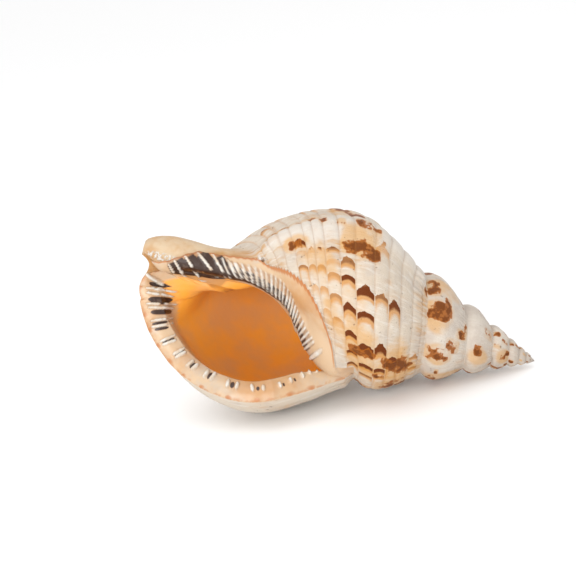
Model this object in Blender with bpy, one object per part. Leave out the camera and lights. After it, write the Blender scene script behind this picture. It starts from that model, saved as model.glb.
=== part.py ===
"""Triton conch shell, lying on its side with the mouth facing -Y, the crown towards +X and the canal towards -X.

The shell is one grown piece: a spiral outer skin that widens by a fixed ratio each turn, a thick toothed lip,
and a hollow that winds in from the mouth. Sections are drawn as radius and depth (distance from the crown's
tip) in millimetres, and turned about the coiling axis by the growth angle, which is 0 at the lip and falls by
360 for each turn back towards the crown.
"""

import math

import bmesh
import bpy
import numpy as np
from mathutils import Vector

MM = 0.001

# Growth
GROWTH_PER_TURN = 1.55
CROWN_TURNS = 6
STEPS_PER_TURN = 28
CROWN_TIP = 1.2

# Resting pose: how far the axis leans down towards the crown, and how far the mouth is rolled up off the floor
AXIS_LEAN = math.radians(24.0)
MOUTH_ROLL = math.radians(46.7)

# Crown whorl at the lip's scale: suture, shoulder, widest part, next suture, then the covered base and neck
CROWN_SECTION = [
    (32.5, 87.0),
    (38.5, 94.5),
    (46.0, 103.5),
    (52.0, 113.5),
    (53.8, 123.5),
    (32.5 * GROWTH_PER_TURN, 87.0 * GROWTH_PER_TURN),
    (49.0, 145.0),
    (43.0, 157.0),
    (32.5, 166.0),
    (20.0, 172.5),
]
# The same points on the swollen last whorl
BODY_SECTION = [
    (32.5, 87.0),
    (38.0, 96.0),
    (47.0, 108.0),
    (55.0, 121.0),
    (58.0, 133.0),
    (57.0, 146.0),
    (53.0, 158.0),
    (46.0, 170.5),
    (35.0, 183.0),
    (23.0, 191.0),
]
SUTURE_SPANS = 5
SWELLING_ENDS = 100.0

# Canal: a stub round the axis, thicker on its upper side, whose end dips to a notch beside the lip
CANAL_RADIUS = 8.0
CANAL_EXTRA = 3.5
CANAL_THICK_SIDE = math.radians(196.0)
CANAL_SHOULDER = 186.0
CANAL_RIM = 194.0
CANAL_END = 197.0
NOTCH_RADIUS = 6.5
NOTCH_DEPTH = 186.0
NOTCH_SIDE = math.radians(20.0)
LIP_FRONT = [(20.5, 192.2), (18.0, 193.5), (14.5, 194.2), (11.0, 193.5), (8.5, 190.5)]
LIP_BLEND = 80.0

# Lip: its edge swings back from the mouth's corner to its front, a rib backs it and teeth line it
LIP_SWING_PLACES = [0.0, 0.6, 1.0, 1.5, 2.0, 3.0]
LIP_SWING_ANGLES = [0.0, 0.0, -9.0, -24.0, -30.0, -30.0]
LIP_SWING_REACH = 75.0
LIP_RIB = 4.5
LIP_THICKNESS = 9.0
LIP_THICK_REACH = 45.0
LIP_BULGE = 2.5
LIP_STEPS = 3
TOOTH_HEIGHT = 1.6

# Hollow: its wall, its blunt front once past the canal, its pillar, and the folds on the pillar
WALL = 2.6
HOLLOW_FRONT = [(17.0, 183.0), (13.5, 181.0), (11.0, 178.0), (9.5, 174.0), (8.5, 170.0), (8.0, 165.0)]
PILLAR = [(12.0, 122.0), (9.0, 134.0), (8.0, 146.0), (8.0, 155.0), (8.0, 161.0), (8.0, 165.0)]
CORNER_INSET = 5.5
HOLLOW_TURNS = 1.9
HOLLOW_STEPS = 22
FOLD_HEIGHT = 0.7

# Relief on the skin
WHORL_CORDS = 5
BASE_CORDS = 4
CORD_HEIGHT = 1.1
FIRST_RIB = 240.0
RIB_SPACING = 270.0
RIB_HEIGHT = 3.6
RIB_HALF_WIDTH = 11.0

# Mesh rows: suture to suture, down to the neck, and along the canal to the notch
WHORL_ROWS = 15
BASE_ROWS = 12
CANAL_ROWS = 8
WELD_DISTANCE = 2e-6


def smooth(x):
    """0 below 0, 1 above 1, and a smooth rise between them."""
    x = np.clip(x, 0.0, 1.0)
    return x * x * (3.0 - 2.0 * x)


def growth(angle):
    """Size of the shell at a growth angle, as a share of its size at the lip."""
    return GROWTH_PER_TURN ** (angle / 360.0)


def row_places():
    """Place of every row: 0 to 1 from suture to suture, to 2 at the neck, to 3 at the notch."""
    whorl = np.linspace(0.0, 1.0, WHORL_ROWS + 1)
    base = np.linspace(1.0, 2.0, BASE_ROWS + 1)[1:]
    canal = np.linspace(2.0, 3.0, CANAL_ROWS + 1)[1:]
    return np.concatenate([whorl, base, canal])


def curve_through(points):
    """A smooth curve through a full set of section control points, read at every row."""
    points = np.asarray(points, float)
    last = len(points) - 1
    neck = len(BODY_SECTION) - 1
    at = np.interp(row_places(), [0.0, 1.0, 2.0, 3.0], [0, SUTURE_SPANS, neck, last])
    slopes = np.gradient(points, axis=0)
    span = np.clip(np.floor(at).astype(int), 0, last - 1)
    t = (at - span)[:, None]
    start, end = points[span], points[span + 1]
    leave, arrive = slopes[span], slopes[span + 1]
    return (
        start * (2 * t**3 - 3 * t**2 + 1)
        + leave * (t**3 - 2 * t**2 + t)
        + end * (3 * t**2 - 2 * t**3)
        + arrive * (t**3 - t**2)
    )


def outward(rows):
    """Unit normals of a section, pointing away from the axis."""
    along = np.gradient(rows, axis=0)
    normal = np.stack([along[:, 1], -along[:, 0]], axis=1)
    return normal / (np.linalg.norm(normal, axis=1)[:, None] + 1e-9)


def whorl_controls(angle):
    """Controls from suture to neck: the crown's form, swelling to the last whorl's, at the lip's scale."""
    swell = smooth((angle + 360.0) / SWELLING_ENDS)
    return np.array(CROWN_SECTION) * (1.0 - swell) + np.array(BODY_SECTION) * swell


def skin_controls(angle):
    """Controls of the outer skin from suture to notch at a growth angle."""
    whorl = whorl_controls(angle) * growth(angle)
    side = math.radians(angle) + MOUTH_ROLL
    stub = CANAL_RADIUS + CANAL_EXTRA * math.cos(side - CANAL_THICK_SIDE)
    neck_radius, neck_depth = whorl[-1]
    run = CANAL_SHOULDER - neck_depth
    canal = np.array(
        [
            (stub + (neck_radius - stub) * 0.38, neck_depth + run * 0.12),
            (stub, neck_depth + run * 0.42),
            (stub * 0.95, CANAL_SHOULDER),
            (stub * 0.72, CANAL_RIM),
            (stub * 0.35, CANAL_END),
        ]
    )
    to_lip = smooth((angle + LIP_BLEND) / LIP_BLEND)
    canal = canal * (1.0 - to_lip) + np.array(LIP_FRONT) * to_lip
    notch = (NOTCH_RADIUS * math.cos(side - NOTCH_SIDE), NOTCH_DEPTH)
    return np.vstack([whorl, canal, notch])


def relief(angle):
    """Height of the cords, ribs and lip rib above the smooth skin at every row."""
    place = row_places()
    size = growth(angle)
    turns = np.where(place <= 1.0, WHORL_CORDS * place, BASE_CORDS * (place - 1.0))
    cords = np.sqrt(0.5 - 0.5 * np.cos(2.0 * math.pi * turns))
    from_rib = (angle + FIRST_RIB + RIB_SPACING / 2) % RIB_SPACING - RIB_SPACING / 2
    rib = math.exp(-((from_rib / RIB_HALF_WIDTH) ** 2)) if angle < -60.0 else 0.0
    lip = math.exp(-(((angle + 14.0) / 13.0) ** 2))
    height = size * (CORD_HEIGHT * cords * (1.0 + 0.6 * rib) + RIB_HEIGHT * rib) + LIP_RIB * lip
    free = smooth((angle + 360.0) / 60.0)
    below_suture = smooth(place / 0.1)
    above_suture = np.where(place <= 1.0, smooth((1.0 - place) / 0.1), 0.0)
    above_suture = above_suture * (1.0 - free) + free
    return height * below_suture * above_suture * smooth((2.5 - place) / 0.7)


def folds(angle):
    """Height of the folds across the pillar, which fade into the hollow and out over the skin."""
    place = row_places()
    ridge = np.where(np.arange(len(place)) % 2 == 0, FOLD_HEIGHT, -FOLD_HEIGHT * 0.4)
    return ridge * smooth((place - 1.1) / 0.2) * smooth((2.9 - place) / 0.4) * smooth(1.0 - angle / 70.0)


def swing(angle):
    """How far every row is turned back near the lip, in degrees."""
    turned = np.interp(row_places(), LIP_SWING_PLACES, LIP_SWING_ANGLES)
    return turned * smooth((angle + LIP_SWING_REACH) / LIP_SWING_REACH)


def place_in_world(section, angle):
    """Section points turned about the axis and laid down in the resting pose, in metres."""
    side = np.radians(angle) + MOUTH_ROLL
    down = section[:, 0] * np.cos(side)
    front = section[:, 0] * np.sin(side)
    depth = section[:, 1]
    x = -depth * math.cos(AXIS_LEAN) - down * math.sin(AXIS_LEAN)
    z = depth * math.sin(AXIS_LEAN) - down * math.cos(AXIS_LEAN)
    return np.stack([x, -front, z], axis=-1) * MM


def notch_point():
    """The bottom of the canal's notch, where every row of the skin ends."""
    section = np.array([(NOTCH_RADIUS, NOTCH_DEPTH)])
    return place_in_world(section, math.degrees(NOTCH_SIDE - MOUTH_ROLL))[0]


def skin_section(angle):
    """Section of the outer skin at every row, relief included."""
    rows = curve_through(skin_controls(angle))
    height = relief(angle)
    if angle < -290.0:
        height = height + folds(angle + 360.0)
    return rows + outward(rows) * height[:, None]


def skin_column(angle):
    """World points of the outer skin at every row."""
    points = place_in_world(skin_section(angle), angle + swing(angle))
    points[-1] = notch_point()
    return points


def hollow_wall(angle):
    """Section of the hollow's outer wall at every row, from the suture's corner to the front."""
    deep = smooth(-angle / 60.0)
    whorl = whorl_controls(angle)
    blunt = np.array(HOLLOW_FRONT)
    blunt[:, 1] += (whorl[-1, 1] - BODY_SECTION[-1][1]) * np.linspace(1.0, 0.0, len(blunt))
    front = skin_controls(0.0)[len(BODY_SECTION):] * (1.0 - deep) + blunt * deep
    rows = curve_through(np.vstack([whorl, front]))
    place = row_places()
    lip = smooth((angle + LIP_THICK_REACH) / LIP_THICK_REACH)
    thickness = WALL + (LIP_THICKNESS - WALL) * lip
    thickness = thickness * smooth(place / 0.45) * (1.0 - smooth((place - 2.2) / 0.8) * (1.0 - deep))
    rows = rows - outward(rows) * thickness[:, None]
    return (rows + corner_shift(angle) * (1.0 - smooth(place / 0.45))[:, None]) * growth(angle)


def corner_shift(angle):
    """How far the hollow's corner lies in from the suture."""
    inward = np.array(BODY_SECTION[3]) - np.array(BODY_SECTION[0]) + np.array([-14.0, 6.0])
    return inward / np.linalg.norm(inward) * CORNER_INSET * smooth(-angle / 25.0)


def hollow_pillar(angle):
    """Section of the hollow's inner side, from the suture's corner along the pillar to the front."""
    deep = smooth(-angle / 60.0)
    own = skin_controls(-360.0)
    neck = len(BODY_SECTION)
    own[neck:] = own[neck:] * (1.0 - deep) + np.array(PILLAR) * deep
    rows = curve_through(own)
    rows = rows + outward(rows) * (relief(-360.0) * (1.0 - deep) + folds(-angle))[:, None]
    rows = rows[WHORL_ROWS:]
    near_corner = 1.0 - smooth((row_places()[WHORL_ROWS:] - 1.0) / 0.45)
    return (rows + corner_shift(angle) * near_corner[:, None]) * growth(angle)


def hollow_ring(angle):
    """World points round the hollow: out along the wall to the front, then back along the pillar."""
    wall = place_in_world(hollow_wall(angle), angle + swing(angle))
    pillar = place_in_world(hollow_pillar(angle), angle)
    deep = smooth(-angle / 60.0)
    front = notch_point() * (1.0 - deep) + pillar[-1] * deep
    wall[-1] = front
    pillar[-1] = front
    return np.vstack([wall, pillar[-2::-1]])


def lip_columns():
    """World points from the skin's edge, over the lip's rim, to the hollow's mouth."""
    edge = skin_section(0.0)
    mouth = hollow_wall(0.0)
    place = row_places()
    ends = np.sin(np.clip(place / 3.0, 0.0, 1.0) * math.pi) ** 0.5
    tooth = np.where(np.arange(len(place)) % 2 == 0, TOOTH_HEIGHT, 0.0) * ends
    columns = []
    for step in range(LIP_STEPS + 1):
        share = step / LIP_STEPS
        section = edge * (1.0 - share) + mouth * share
        bulge = LIP_BULGE * math.sin(math.pi * share) * ends
        if step == LIP_STEPS - 1:
            bulge = bulge + tooth
        points = place_in_world(section, swing(0.0) + bulge)
        points[0] = skin_column(0.0)[0]
        points[-1] = notch_point()
        columns.append(points)
    return columns


def add_sheet(bm, columns):
    """A sheet of quads through columns of points."""
    rows = len(columns[0])
    made = bmesh.ops.create_grid(bm, x_segments=rows - 1, y_segments=len(columns) - 1, size=1.0)
    for index, vert in enumerate(made["verts"]):
        vert.co = columns[index // rows][index % rows]


def close_openings(bm):
    """Fill the open ring at the crown's tip and the one deep in the hollow, and dome the crown's."""
    tip = Vector(place_in_world(np.array([(0.0, CROWN_TIP)]), 0.0)[0])
    open_edges = [edge for edge in bm.edges if edge.is_boundary]
    filled = bmesh.ops.holes_fill(bm, edges=open_edges, sides=0)["faces"]
    middles = bmesh.ops.poke(bm, faces=filled)["verts"]
    min(middles, key=lambda vert: (vert.co - tip).length).co = tip


def build_shell():
    """The whole shell as one closed skin: crown and last whorl, base and canal, lip, hollow."""
    bm = bmesh.new()
    step = 360.0 / STEPS_PER_TURN
    turns = CROWN_TURNS + 1
    columns = [skin_column(step * i - 360.0 * turns) for i in range(STEPS_PER_TURN * turns + 1)]
    add_sheet(bm, [column[: WHORL_ROWS + 1] for column in columns])
    add_sheet(bm, [column[WHORL_ROWS:] for column in columns[-STEPS_PER_TURN - 1 :]])
    add_sheet(bm, lip_columns())
    inward = np.linspace(0.0, -360.0 * HOLLOW_TURNS, HOLLOW_STEPS + 1)
    add_sheet(bm, [hollow_ring(angle) for angle in inward])
    bmesh.ops.remove_doubles(bm, verts=bm.verts, dist=WELD_DISTANCE)
    close_openings(bm)
    bmesh.ops.triangulate(bm, faces=bm.faces, quad_method="SHORT_EDGE")
    bmesh.ops.recalc_face_normals(bm, faces=bm.faces)
    return bm


def rest_on_floor(bm):
    """Move the shell so that its lowest point is at height 0 and it is centred in X and Y."""
    corners = np.array([vert.co for vert in bm.verts])
    low, high = corners.min(axis=0), corners.max(axis=0)
    shift = Vector((-(low[0] + high[0]) / 2, -(low[1] + high[1]) / 2, -low[2]))
    bmesh.ops.translate(bm, verts=bm.verts, vec=shift)


def shell_material():
    """Cream glossy shell."""
    material = bpy.data.materials.new("shell_cream")
    material.use_nodes = True
    surface = material.node_tree.nodes["Principled BSDF"]
    surface.inputs["Base Color"].default_value = (0.78, 0.58, 0.38, 1.0)
    surface.inputs["Roughness"].default_value = 0.4
    return material


def main():
    for obj in list(bpy.data.objects):
        bpy.data.objects.remove(obj)
    bm = build_shell()
    rest_on_floor(bm)
    mesh = bpy.data.meshes.new("shell")
    bm.to_mesh(mesh)
    bm.free()
    mesh.materials.append(shell_material())
    shell = bpy.data.objects.new("shell", mesh)
    collection = bpy.data.collections.new("conch_shell")
    bpy.context.scene.collection.children.link(collection)
    collection.objects.link(shell)


main()
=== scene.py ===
"""A triton conch shell on a pale floor, grown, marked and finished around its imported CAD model.

The shell is grown in sheets of quads that follow its spiral: the crown's whorls, the last whorl, its base, the lip
and the hollow. A point on a sheet has an angle, 0 at the lip and 360 less for each turn back to the crown, and a
place, 0 to 1 from suture to suture, to 2 at the neck and to 3 at the canal's notch. Sections are drawn as radius and
depth from the crown's tip, in millimetres.
"""

import math

import bpy
import numpy as np
from mathutils import Matrix, Vector


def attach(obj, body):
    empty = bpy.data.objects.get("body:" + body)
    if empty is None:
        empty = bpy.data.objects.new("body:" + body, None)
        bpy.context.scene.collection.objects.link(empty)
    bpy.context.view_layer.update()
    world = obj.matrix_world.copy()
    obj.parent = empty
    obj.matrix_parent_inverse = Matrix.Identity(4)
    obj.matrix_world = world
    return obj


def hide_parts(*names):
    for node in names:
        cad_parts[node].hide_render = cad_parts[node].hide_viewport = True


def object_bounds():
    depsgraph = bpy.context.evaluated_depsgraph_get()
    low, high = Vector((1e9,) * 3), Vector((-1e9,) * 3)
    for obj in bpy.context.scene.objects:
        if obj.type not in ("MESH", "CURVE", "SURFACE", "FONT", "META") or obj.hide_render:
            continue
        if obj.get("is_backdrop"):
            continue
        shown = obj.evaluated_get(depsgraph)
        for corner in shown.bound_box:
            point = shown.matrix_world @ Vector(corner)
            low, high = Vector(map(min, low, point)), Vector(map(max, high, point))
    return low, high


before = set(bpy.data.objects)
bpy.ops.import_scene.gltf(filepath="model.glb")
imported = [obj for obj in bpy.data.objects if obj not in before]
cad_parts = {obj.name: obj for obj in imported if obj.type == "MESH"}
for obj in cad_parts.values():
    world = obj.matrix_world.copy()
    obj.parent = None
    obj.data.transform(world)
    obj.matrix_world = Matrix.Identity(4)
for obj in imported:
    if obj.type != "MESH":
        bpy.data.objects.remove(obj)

bl_info = {
    "name": "Conch Shell",
    "version": (1, 0, 0),
    "blender": (4, 5, 0),
    "location": "View3D > Sidebar > Shell",
    "description": "Grows a triton conch shell around its CAD model and sets it on a pale floor",
    "category": "Add Mesh",
}

MM = 0.001
FINISHES = ("shell_skin", "shell_mouth")
SHIFT = np.array([0.09384999, -0.00413096, 0.00166811])

# Growth, and how the shell lies
GROWTH_PER_TURN = 1.55
TURNS = 7
CROWN_TIP = 2.0
AXIS_LEAN = math.radians(24.0)
MOUTH_ROLL = math.radians(46.7)

# Section of a crown whorl and of the last whorl, at the lip's scale
CROWN_SECTION = np.array([
    (32.5, 87.0), (38.5, 94.5), (46.0, 103.5), (52.0, 113.5), (53.8, 123.5),
    (32.5 * GROWTH_PER_TURN, 87.0 * GROWTH_PER_TURN), (49.0, 145.0), (43.0, 157.0), (32.5, 166.0), (20.0, 172.5),
])
BODY_SECTION = np.array([
    (32.5, 87.0), (38.0, 96.0), (47.0, 108.0), (55.0, 121.0), (58.0, 133.0),
    (57.0, 146.0), (53.0, 158.0), (46.0, 170.5), (35.0, 183.0), (23.0, 191.0),
])
SUTURE_SPANS = 5
NECK = 9
SWELLING_ENDS = 100.0

# Canal and lip
CANAL_RADIUS = 8.0
CANAL_EXTRA = 3.5
CANAL_THICK_SIDE = math.radians(196.0)
CANAL_SHOULDER = 186.0
MOUTH_SIDE = math.radians(40.0)
PILLAR_HOLLOW = 2.0
PILLAR_SWELL = 4.0
CANAL_RIM = 194.0
CANAL_END = 197.0
CANAL_DIP = 3.5
NOTCH_RADIUS = 6.5
NOTCH_DEPTH = 186.0
NOTCH_SIDE = math.radians(20.0)
LIP_FRONT = np.array([(21.5, 191.8), (20.0, 193.0), (17.5, 194.0), (14.5, 194.3), (11.0, 193.5), (8.5, 190.5)])
LIP_BLEND = 80.0
LIP_SWING_PLACES = [0.0, 0.6, 1.0, 1.5, 2.0, 3.0]
LIP_SWING_ANGLES = [0.0, 0.0, -9.0, -24.0, -30.0, -30.0]
LIP_SWING_REACH = 75.0
LIP_RIB = 2.4
LIP_THICKNESS = 9.0
LIP_THICK_REACH = 45.0
LIP_BULGE = 2.5

# Hollow
WALL = 2.6
HOLLOW_FRONT = np.array([(17, 183), (14.5, 181.8), (12.5, 180), (11, 177.5), (9.5, 174), (8.5, 170), (8, 165)], float)
PILLAR = np.array([(12, 122), (8, 132), (7, 141), (7, 149), (7, 156), (7, 161), (7, 165)], float)
CORNER_INSET = 5.5
NECK_INSET = np.array([-2.5, -6.0])
HOLLOW_END = -240.0
HOLLOW_BEND = -46.0

# Ribs: the old lips that cross the whorls
FIRST_RIB = 240.0
RIB_SPACING = 270.0
RIB_HALF_WIDTH = 11.0

# Cords: their edges by place, how many mesh rows each has, and how high it stands
CORD_EDGES = [0.0, 0.10, 0.26, 0.42, 0.57, 0.74, 0.94, 1.12, 1.30, 1.415, 1.51, 1.63, 1.75, 1.87, 2.0]
CORD_SHARE = [0.3, 1.0, 1.0, 0.9, 0.95, 0.95, 0.95, 0.9, 0.85, 0.8, 0.8, 0.8, 0.8, 0.75]
WHORL_EDGES = [0.0, 0.10, 0.26, 0.42, 0.57, 0.74, 0.94, 1.0]
WHORL_COUNTS = [5, 8, 7, 7, 8, 9, 4]
BASE_EDGES = [1.0, 1.12, 1.30, 1.415, 1.51, 1.63, 1.75, 1.87, 2.0, 2.3, 2.6, 3.0]
BASE_COUNTS = [5, 6, 5, 5, 5, 5, 5, 5, 9, 12, 9]

# Mesh steps round the spiral
LAST_STEPS = 216
CROWN_STEPS = 108
FINE = 4
CALLUS_TURN = 72
CALLUS_COLUMNS = 44
STEP_COLUMNS = 5
RIM_COLUMNS = 25
WALL_COLUMNS = 15
PILLAR_COLUMNS = 20
END_COLUMNS = 18

# Where a sheet's open side is judged: columns, and for the inner lip a point on the axis
LIP_MIDDLE = 20
LIP_COLUMNS = slice(10, 40)
INNER_COLUMNS = slice(30, 60)
AXIS_MIDDLE = np.array([0.0, 150.0])

# How far the last whorl takes to lift off the one before, and the hollow to reach its full form, in degrees
FREE_REACH = 60.0
DEEP_REACH = 60.0

# Distances for welding and for staying inside the CAD shell's box, in metres
WELD = 2e-6
SLIVER = 1e-7
CORNER_WELD = 3e-4
BOX_GAP = 5e-5

# Inner lip: how far its glaze spreads over the whorl, in degrees past the mouth, by place
GLAZE_PLACES = [1.0, 1.23, 1.333, 1.45, 1.583, 1.733, 2.0, 2.1, 2.25, 2.4, 2.5, 2.575, 2.7, 2.85, 3.0]
GLAZE_DEGREES = [0, 3, 28, 54, 72, 82, 94, 112, 112, 102, 75, 48, 25, 10, 0]
GLAZE_LEAST = 10.0
GLAZE_MOST = 113.5
GLAZE_STEP = 2.0
FOLD_PLACES = [1.34, 1.40, 2.28, 2.64]
FOLD_COUNTS = [0, 1, 26, 32]
SWELL_PLACES = [1.02, 1.15, 1.3, 1.6, 1.8, 1.95, 2.05, 2.15, 2.26]
SWELL_HEIGHTS = [0.0, 2.6, 5.4, 5.6, 7.0, 8.5, 8.0, 4.0, 0.0]

# Teeth of the outer lip and the dark gaps between them: points along each one and its half width, in millimetres
TEETH = [
    (-85.8, -7.1, 71.2, -83.7, -6.4, 69.1, -81.4, -5.5, 66.7, -79.3, -5.1, 64.7, 1.3),
    (-86.6, -9.2, 65.5, -82, -8.7, 64, -78.5, -5, 61.7, -74, -3.5, 60, 0.8),
    (-86.8, -9.9, 63.4, -82.9, -9.6, 62.1, -79.7, -7.4, 60.4, -76.1, -4.1, 58.1, 0.8),
    (-87.5, -11.7, 58.5, -82.8, -11.4, 57.6, -79.2, -8.2, 55.9, -75.2, -2, 53.2, 0.8),
    (-86.9, -12.4, 56.8, -83.1, -12.2, 56.1, -79.9, -11.3, 55.2, -77.1, -3.7, 52, 0.8),
    (-86.3, -14.9, 50.7, -83, -14.8, 50.7, -80.2, -13.9, 50.4, -77.8, -7.4, 48.2, 0.8),
    (-86.2, -16.1, 48.1, -82.9, -16.1, 48.2, -80.1, -15.2, 48, -77.4, -10.7, 46.6, 0.8),
    (-83, -19.2, 41.4, -80.5, -18.9, 42.1, -78.4, -18.2, 42.5, -76.1, -16.7, 42.8, 0.8),
    (-82.1, -19.8, 39.9, -79.9, -19.8, 40.4, -78, -19.2, 40.7, -75.9, -18.1, 40.8, 0.8),
    (-77.6, -22.2, 35.2, -75.7, -21.8, 35.9, -74.2, -20.9, 36.3, -72.5, -19.5, 36.6, 1.05),
    (-76.6, -23, 33.9, -75, -22.8, 34.5, -73.6, -22.2, 34.8, -72, -21.1, 35.2, 1.05),
    (-71.8, -27, 30.2, -70.6, -26.6, 30.8, -69.6, -25.9, 31.3, -68.5, -24.9, 31.7, 1.05),
    (-69.4, -28.7, 28.9, -68.3, -28.2, 29.5, -67.4, -27.5, 29.9, -66.4, -26.4, 30.3, 1.05),
    (-63.8, -32.9, 26, -63, -32.1, 26.8, -62.3, -31, 27.3, -61.6, -29.5, 27.9, 1.05),
    (-60.9, -35, 25, -60, -34.2, 25.7, -59.2, -33.1, 26.2, -58.4, -31.5, 26.7, 1.05),
    (-53.2, -39.8, 22.4, -52.9, -39, 23.2, -52.6, -38, 23.8, -52.3, -36.6, 24.4, 1.05),
    (-49, -41, 21.4, -48.7, -40.3, 22.1, -48.4, -39.4, 22.6, -48.2, -38.2, 23.1, 1.05),
    (-41.3, -42.8, 20.1, -41.5, -42.1, 20.8, -41.6, -41.3, 21.4, -41.8, -40.2, 21.9, 1.05),
    (-36.3, -43.4, 19.9, -36.4, -42.9, 20.5, -36.4, -42.3, 20.9, -36.5, -41.6, 21.5, 1.05),
    (-28.5, -41.9, 19.8, -28.7, -41.4, 20.5, -28.9, -40.9, 20.9, -29.1, -40.2, 21.5, 1),
    (-23.5, -39, 20.3, -23.7, -38.4, 20.9, -23.9, -37.8, 21.3, -24, -37.1, 21.8, 1),
    (-17.8, -35.5, 20.8, -18.1, -34.8, 21.4, -18.4, -34.1, 21.8, -18.7, -33.3, 22.3, 1),
    (-14.5, -32.8, 21.3, -14.7, -32.5, 21.6, -15.1, -32.1, 21.9, -15.3, -31.7, 22.1, 0.9),
    (-11.3, -31.4, 21, -11.4, -31.2, 21.2, -11.5, -31, 21.3, -11.6, -30.8, 21.4, 0.8),
]
DARK_GAPS = [
    (-84.9, -7.7, 67, -82.2, -6.1, 65.6, -79.9, -5.3, 64.6, -77.1, -4.5, 63.5, 1.5),
    (-85.9, -10.9, 60.2, -82.4, -10.4, 59.4, -79.7, -8.3, 58.1, -76.7, -4, 56.1, 2),
    (-84.9, -11.3, 59, -82.4, -10.8, 58.5, -80.2, -10, 57.9, -78.2, -5.7, 56.2, 1.8),
    (-85.5, -13.4, 54.5, -82.4, -12.9, 54, -79.9, -12, 53.4, -77.7, -4.9, 50.8, 1.7),
    (-85.9, -15.6, 49.3, -83, -15.5, 49.4, -80.7, -14.8, 49.2, -78.1, -12.5, 48.5, 0.9),
    (-85, -16.8, 46.8, -82.8, -16.7, 46.9, -81, -16.3, 46.9, -78.9, -15.5, 46.7, 1),
    (-81.9, -19.5, 40.8, -80, -19.3, 41.3, -78.4, -18.7, 41.6, -76.6, -17.7, 41.8, 0.8),
    (-76.7, -22.6, 34.6, -75.3, -22.2, 35.2, -74.2, -21.5, 35.5, -72.8, -20.6, 35.9, 0.75),
    (-70.2, -27.7, 29.8, -69.3, -27.3, 30.2, -68.6, -26.7, 30.6, -67.8, -25.9, 30.9, 1),
    (-62.1, -33.8, 25.7, -61.4, -33, 26.3, -60.9, -32.1, 26.7, -60.2, -30.9, 27.1, 1.1),
    (-51, -40.2, 22.1, -50.8, -39.5, 22.7, -50.6, -38.7, 23.2, -50.3, -37.7, 23.7, 1.4),
    (-39, -42.9, 20.2, -39, -42.5, 20.7, -39, -42, 21, -39.1, -41.5, 21.4, 1.1),
    (-26.8, -41, 19.9, -26.9, -40.6, 20.4, -27, -40.2, 20.8, -27.1, -39.7, 21.2, 0.7),
    (-21.6, -37.9, 20.4, -21.7, -37.5, 20.8, -21.8, -37.1, 21.1, -21.9, -36.6, 21.5, 0.7),
]
RIM_PATCHES = [2.5, 2.1, 1.88, 1.76, 1.64, 1.5, 1.35, 1.16, 0.92, 0.72, 0.5, 0.36]

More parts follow.
